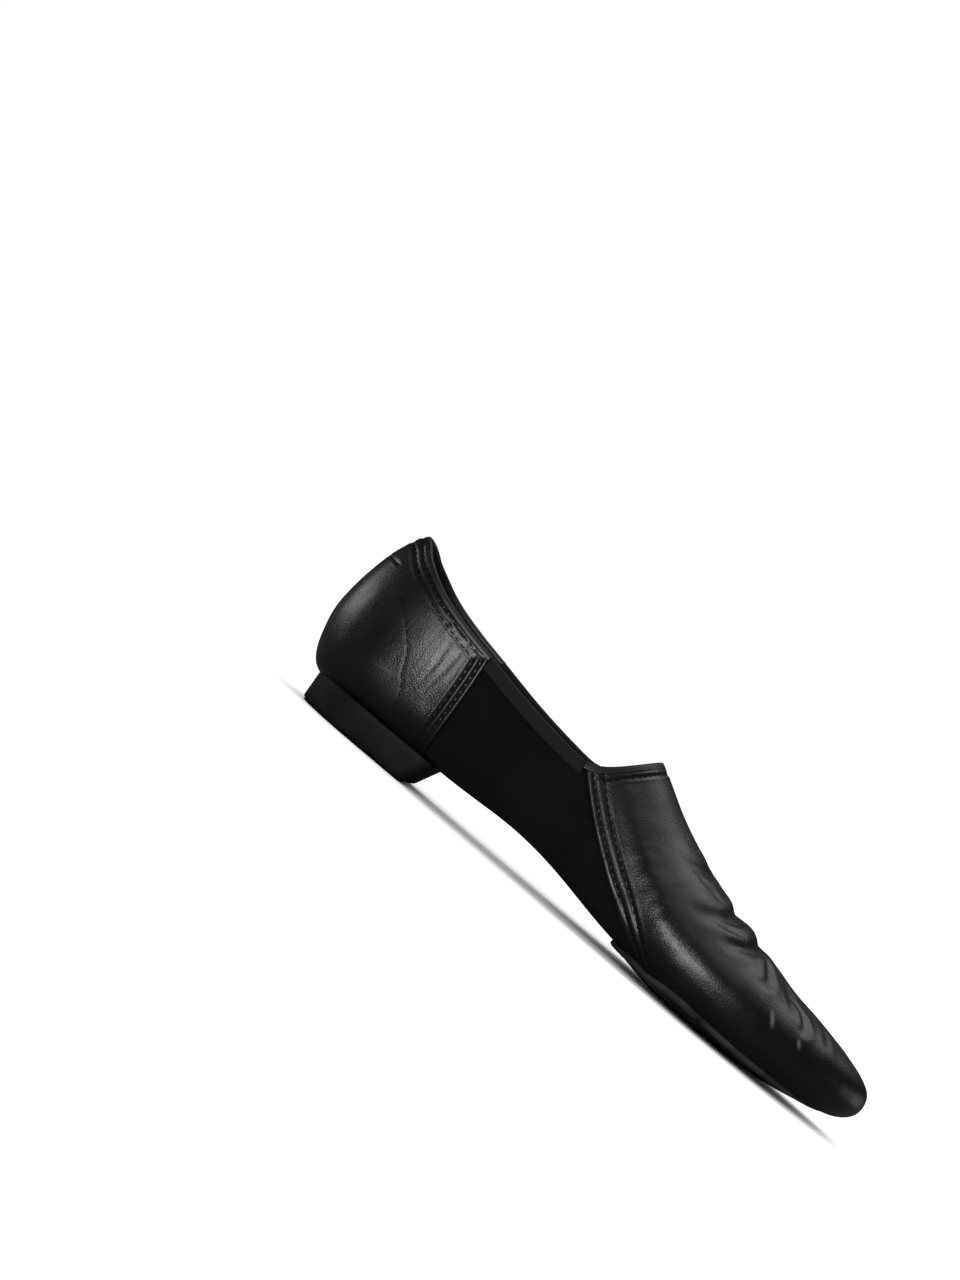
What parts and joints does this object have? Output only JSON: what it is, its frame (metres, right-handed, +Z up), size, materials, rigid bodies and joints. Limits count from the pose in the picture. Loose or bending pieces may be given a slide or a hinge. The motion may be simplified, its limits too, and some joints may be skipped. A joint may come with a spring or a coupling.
{
  "type": "jazz shoe",
  "caption": "Right slip-on jazz shoe with a split sole: stretch body, glossy leather vamp and heel counter, low rubber heel and forefoot sole pad.",
  "frame": {"origin": "on the floor, under the middle of the shoe's length and width", "axes": "+X towards the toe, +Y towards the inner side of the foot, +Z up"},
  "size_m": [0.2418, 0.0855, 0.0674],
  "materials": {
    "stretch_cloth": "matt black knitted cloth over thin foam",
    "vamp_leather": "soft black leather, semi-gloss, fine grain",
    "counter_leather": "smooth black leather, semi-gloss",
    "binding_elastic": "matt black woven elastic",
    "heel_rubber": "matt black rubber",
    "sole_rubber": "matt black scuffed rubber",
    "insole_lining": "black cloth over soft foam"
  },
  "bodies": {
    "root": {"upper": "stretch_cloth", "vamp": "vamp_leather", "counter": "counter_leather", "binding_outer": "binding_elastic", "binding_inner": "binding_elastic", "heel": "heel_rubber", "forefoot_sole": "sole_rubber", "insole": "insole_lining"}
  },
  "joints": []
}
